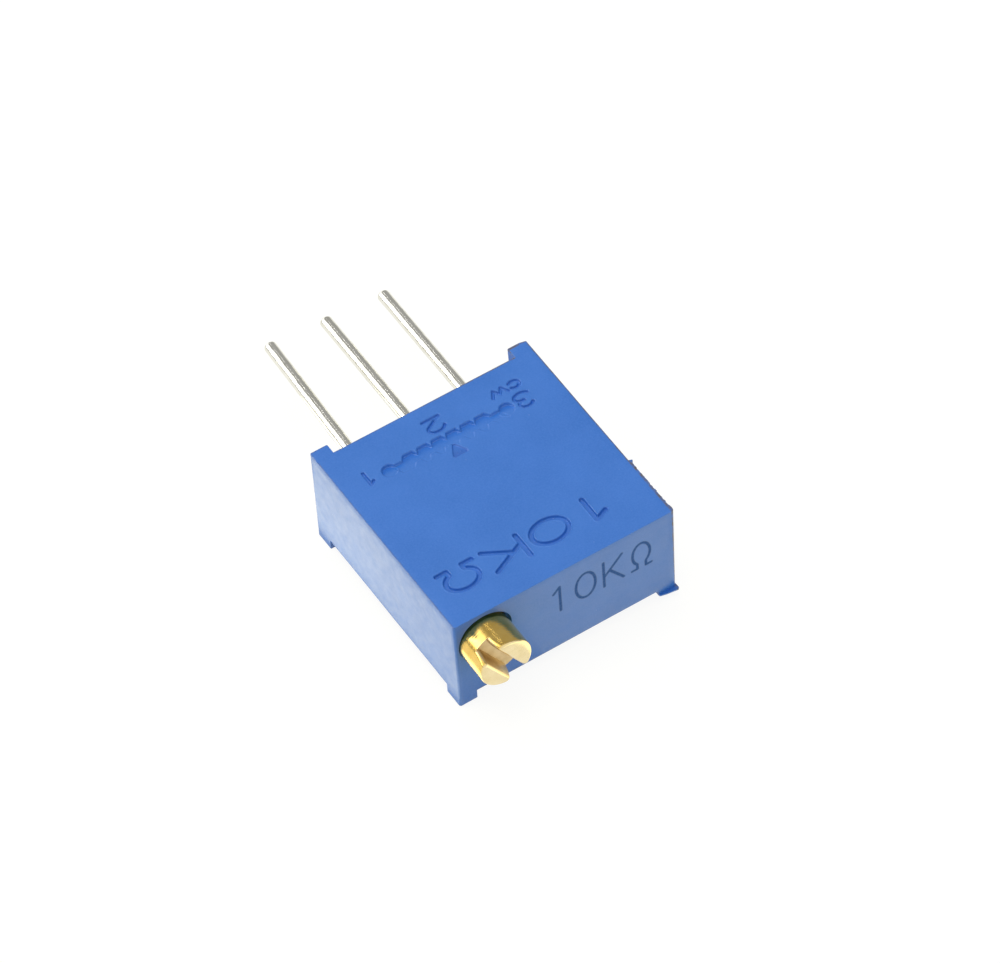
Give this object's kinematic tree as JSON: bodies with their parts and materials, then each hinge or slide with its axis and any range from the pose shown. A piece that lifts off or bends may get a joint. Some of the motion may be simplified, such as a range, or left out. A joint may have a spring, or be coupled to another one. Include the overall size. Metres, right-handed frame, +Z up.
{
  "type": "trimmer potentiometer",
  "caption": "Square multi-turn trimmer potentiometer with a slotted adjusting screw, a worm-driven wiper, standoff ridges, corner feet and wire leads.",
  "frame": {"origin": "middle of the part's own box in X and Y, at the bottom of the corner feet", "axes": "+X across the case from lead 1 to lead 3, +Y the way the leads point, +Z up out of the marked face"},
  "size_m": [0.0096, 0.0186, 0.0048],
  "materials": {
    "case_plastic": "satin",
    "gilt_brass": "polished",
    "seal_rubber": "matte",
    "clip_steel": "satin",
    "wheel_plastic": "satin",
    "wiper_metal": "satin",
    "alumina": "matte",
    "cermet_film": "satin",
    "conductor_film": "satin",
    "tinned_wire": "satin",
    "solder": "satin",
    "potting_epoxy": "satin"
  },
  "bodies": {
    "case": {"housing": "case_plastic", "shaft_seal": "seal_rubber", "retaining_clip": "clip_steel", "ceramic_substrate": "alumina", "resistive_track": "cermet_film", "end_conductor_1": "conductor_film", "end_conductor_3": "conductor_film", "collector_conductor": "conductor_film", "lead_1": "tinned_wire", "lead_2": "tinned_wire", "lead_3": "tinned_wire", "solder_joint_1": "solder", "solder_joint_2": "solder", "solder_joint_3": "solder", "potting": "potting_epoxy"},
    "screw": {"adjusting_screw": "gilt_brass"},
    "rotor": {"worm_wheel": "wheel_plastic", "wiper": "wiper_metal"}
  },
  "joints": [
    {"name": "screw_turn", "type": "hinge", "parent": "case", "child": "screw", "pos_m": [-0.00349, -0.00777, 0.00338], "axis": [0, 1, 0], "range_deg": [-4500, 4500]},
    {"name": "wheel_turn", "type": "hinge", "parent": "case", "child": "rotor", "pos_m": [0.00046, -0.00334, 0.00338], "axis": [0, 0, 1], "range_deg": [-150, 150]}
  ],
  "couplings": [
    {"joint": "wheel_turn", "follows": "screw_turn", "ratio": 0.033333}
  ]
}
